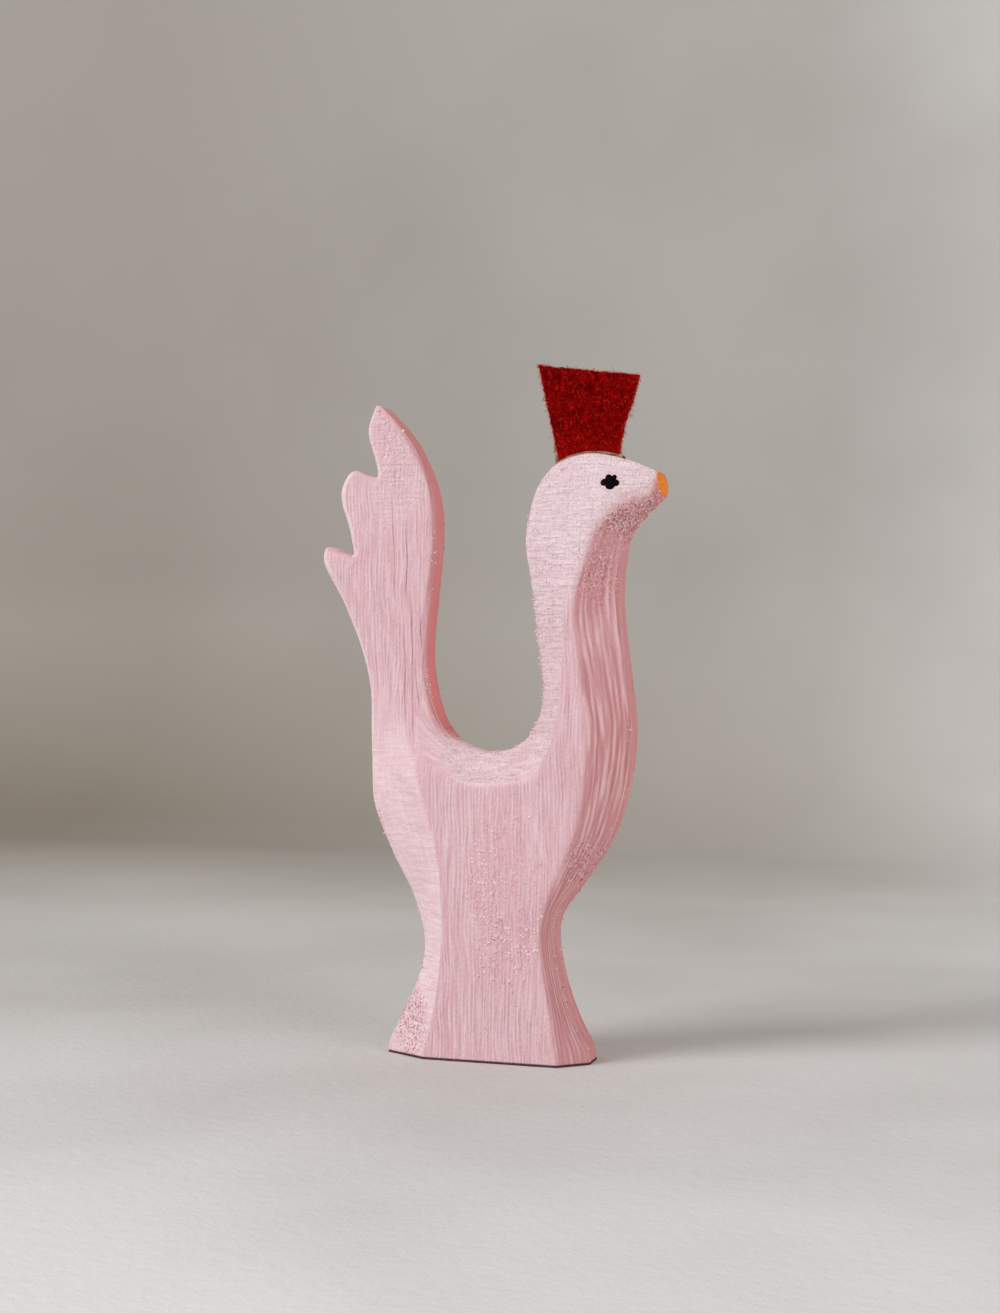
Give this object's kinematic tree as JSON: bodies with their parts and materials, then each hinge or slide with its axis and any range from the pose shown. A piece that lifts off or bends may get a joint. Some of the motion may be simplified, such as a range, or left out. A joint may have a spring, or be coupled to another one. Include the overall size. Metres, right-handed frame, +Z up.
{
  "type": "carved wooden bird figure",
  "caption": "Upright hand-carved wooden bird with a tall feathered tail, a deep gap between tail and neck, a flared flat foot and a felt comb glued into the crown.",
  "frame": {"origin": "middle of the bounding box's floor, on the plane the foot stands on", "axes": "+X towards the beak, +Z up, Y through the thickness of the board"},
  "size_m": [0.0515, 0.011, 0.0998],
  "materials": {
    "painted_wood": "chalky matte pink paint over brushed wood grain",
    "wool_felt": "dense red wool felt with a short fuzz",
    "dried_glue": "dried wood glue, amber",
    "orange_paint": "thick orange paint, satin",
    "black_paint": "black paint dab, satin"
  },
  "bodies": {
    "root": {"wood_body": "painted_wood", "felt_comb": "wool_felt", "comb_glue": "dried_glue", "beak_paint": "orange_paint", "eye_paint_left": "black_paint", "eye_paint_right": "black_paint"}
  },
  "joints": []
}
